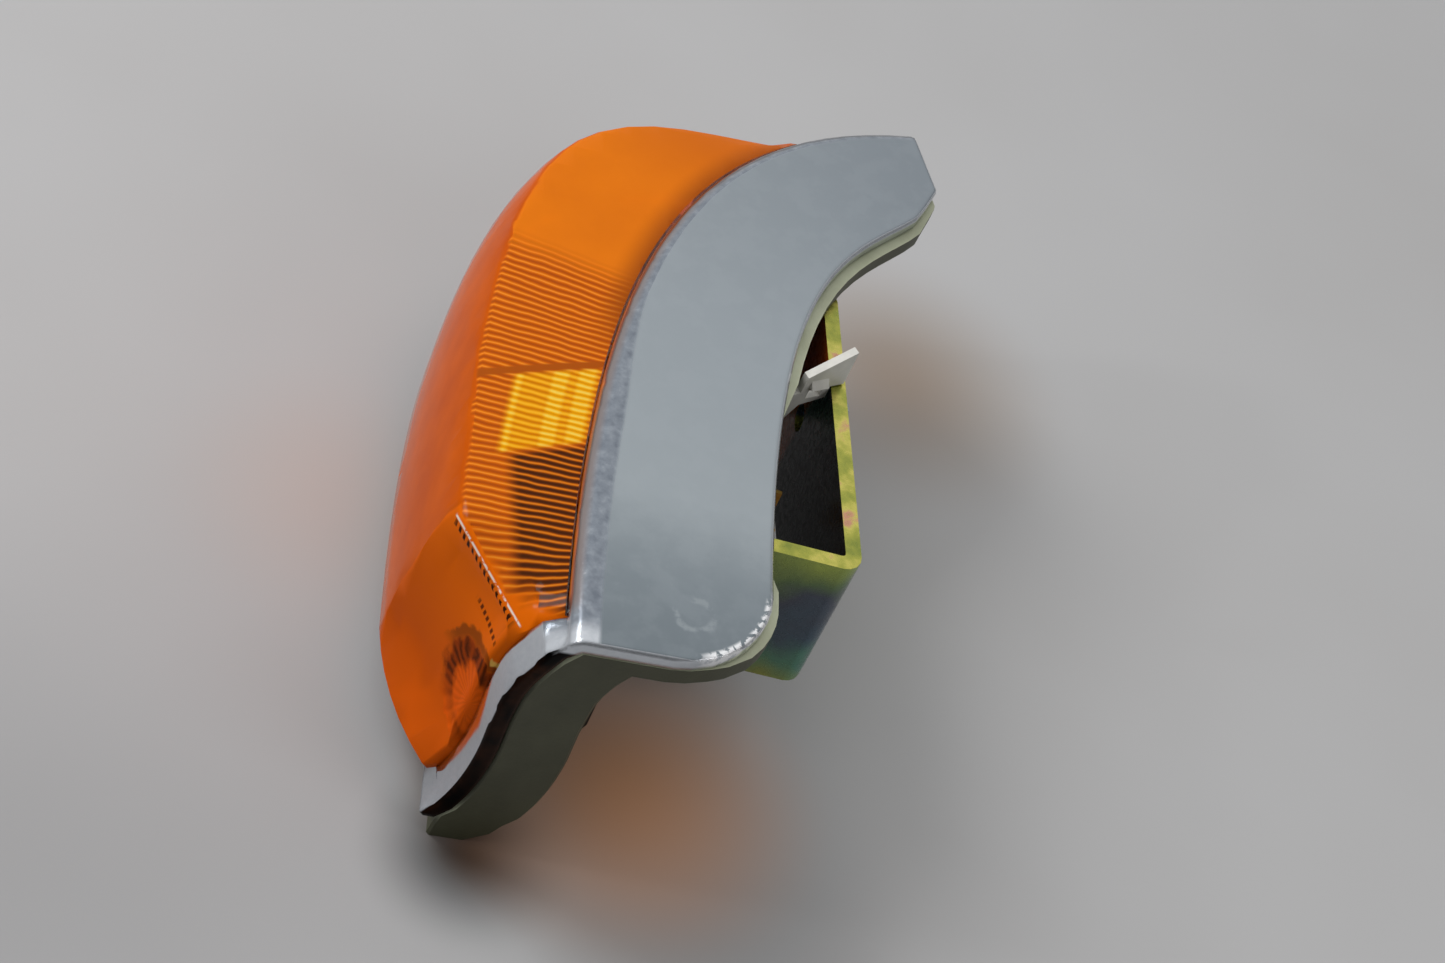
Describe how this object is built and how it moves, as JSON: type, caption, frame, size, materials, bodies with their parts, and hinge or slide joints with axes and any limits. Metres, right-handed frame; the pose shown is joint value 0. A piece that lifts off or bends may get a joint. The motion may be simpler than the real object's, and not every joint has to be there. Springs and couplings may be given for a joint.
{
  "type": "vehicle indicator lamp",
  "caption": "Wrap-around corner indicator lamp: ribbed amber lens in a chrome-plated bezel on a rubber base gasket, with bulb, tray and strap bracket behind.",
  "frame": {"origin": "on the gasket's seat, the flat underside of its flange, under the middle of the lamp's top plate", "axes": "+Z out of the panel that the gasket rests on, +X towards the square near end, +Y to the rear, where the strap bracket is; the front faces -Y and turns back towards +Y at the -X end"},
  "size_m": [0.1531, 0.0997, 0.0612],
  "materials": {
    "chrome plate": "dulled, lightly scratched and pitted",
    "amber acrylic": "glossy, ribbed inside its top wall",
    "olive-cream rubber": "matt",
    "dark foam rubber": "matt",
    "black moulded plastic": "satin",
    "bright reflector sheet": "polished",
    "clear glass": "clear",
    "brass": "satin",
    "solder": "dull",
    "zinc-plated steel": "satin",
    "white nylon": "satin",
    "insulating fibre": "matt",
    "yellow-passivated steel": "satin, with rainbow patches of passivation"
  },
  "bodies": {
    "root": {"bezel": "chrome plate", "lens": "amber acrylic", "lens_seal": "dark foam rubber", "base_gasket": "olive-cream rubber", "lamp_tray": "black moulded plastic", "reflector": "bright reflector sheet", "bulb_glass": "clear glass", "bulb_cap": "brass", "bulb_contact": "solder", "bulb_sleeve": "zinc-plated steel", "bulb_holder": "white nylon", "contact_disc": "insulating fibre", "contact_spring": "zinc-plated steel", "feed_blade": "brass", "earth_blade": "brass", "strap_bracket": "yellow-passivated steel", "clamp_nut": "zinc-plated steel", "lens_screw_near": "zinc-plated steel", "lens_screw_far": "zinc-plated steel", "strap_screw_near": "zinc-plated steel", "strap_screw_far": "zinc-plated steel", "bezel_screw_near": "zinc-plated steel", "bezel_screw_far": "zinc-plated steel"}
  },
  "joints": []
}
